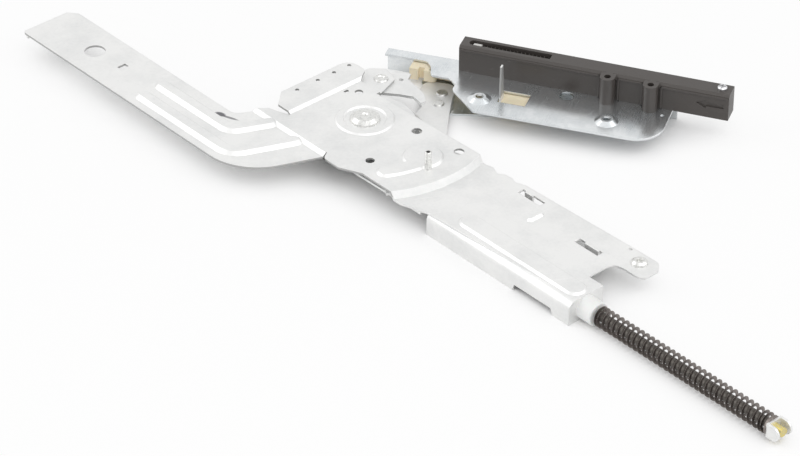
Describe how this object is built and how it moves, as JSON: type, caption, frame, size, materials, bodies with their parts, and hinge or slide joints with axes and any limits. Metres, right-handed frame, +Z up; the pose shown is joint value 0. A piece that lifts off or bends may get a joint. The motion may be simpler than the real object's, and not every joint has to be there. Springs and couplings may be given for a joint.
{
  "type": "spring hinge",
  "caption": "Riveted sheet-steel spring hinge for an appliance door: a frame with a long arm, a pivoting door bracket with a black rail, and a compression spring on a tie rod.",
  "frame": {"origin": "main pivot's axis, where it meets the plane that the hinge lies on", "axes": "+X along the frame towards the main spring, +Z up from the back of the hinge, +Y towards the door bracket"},
  "size_m": [0.6278, 0.2899, 0.0395],
  "materials": {
    "zinc_sheet": "bright zinc-plated sheet",
    "bracket_sheet": "bluish zinc-plated sheet",
    "rivet_steel": "zinc-plated, peened",
    "bush_steel": "plain steel",
    "screw_steel": "zinc-plated",
    "spring_steel": "dark oiled spring steel",
    "passivated_steel": "yellow passivated",
    "white_plastic": "moulded",
    "cream_plastic": "moulded",
    "grey_plastic": "moulded",
    "black_plastic": "fine moulded grain"
  },
  "bodies": {
    "frame": {"front_plate": "zinc_sheet", "back_plate": "zinc_sheet", "main_pivot": "rivet_steel", "stop_pin": "rivet_steel", "cam_rivet": "rivet_steel", "ear_rivet": "rivet_steel", "slider_cam": "zinc_sheet", "rod_bush": "white_plastic", "main_spring": "spring_steel"},
    "door_arm": {"door_lever": "zinc_sheet", "lever_rivets": "rivet_steel", "pivot_bush": "bush_steel", "crank_pin": "rivet_steel", "crank_clip": "rivet_steel", "door_channel": "bracket_sheet", "rail_housing": "black_plastic", "rail_screws": "screw_steel", "clamp_screw": "screw_steel", "rail_spring": "spring_steel"},
    "rod": {"tie_rod": "passivated_steel", "rod_end": "zinc_sheet", "spring_seat": "spring_steel"},
    "slider": {"slider_block": "cream_plastic", "slider_blade": "zinc_sheet"},
    "plunger": {"rail_plunger": "grey_plastic"}
  },
  "joints": [
    {"name": "door_hinge", "type": "hinge", "parent": "frame", "child": "door_arm", "pos_m": [0, 0, 0.017], "axis": [0, 0, 1], "range_deg": [-30, 60]},
    {"name": "rod_slide", "type": "slide", "parent": "frame", "child": "rod", "axis": [1, 0, 0], "range_m": [-0.0135, 0.027], "deforming": ["main_spring"]},
    {"name": "slider_slide", "type": "slide", "parent": "door_arm", "child": "slider", "axis": [0.8616, 0.5075, 0], "range_m": [0, 0.011]},
    {"name": "plunger_slide", "type": "slide", "parent": "door_arm", "child": "plunger", "axis": [0.8738, 0.4863, 0], "range_m": [0, 0.008], "stiffness_N_per_m": 150, "deforming": ["rail_spring"]}
  ],
  "couplings": [
    {"joint": "rod_slide", "follows": "door_hinge", "m_per_rad": 0.0252}
  ]
}
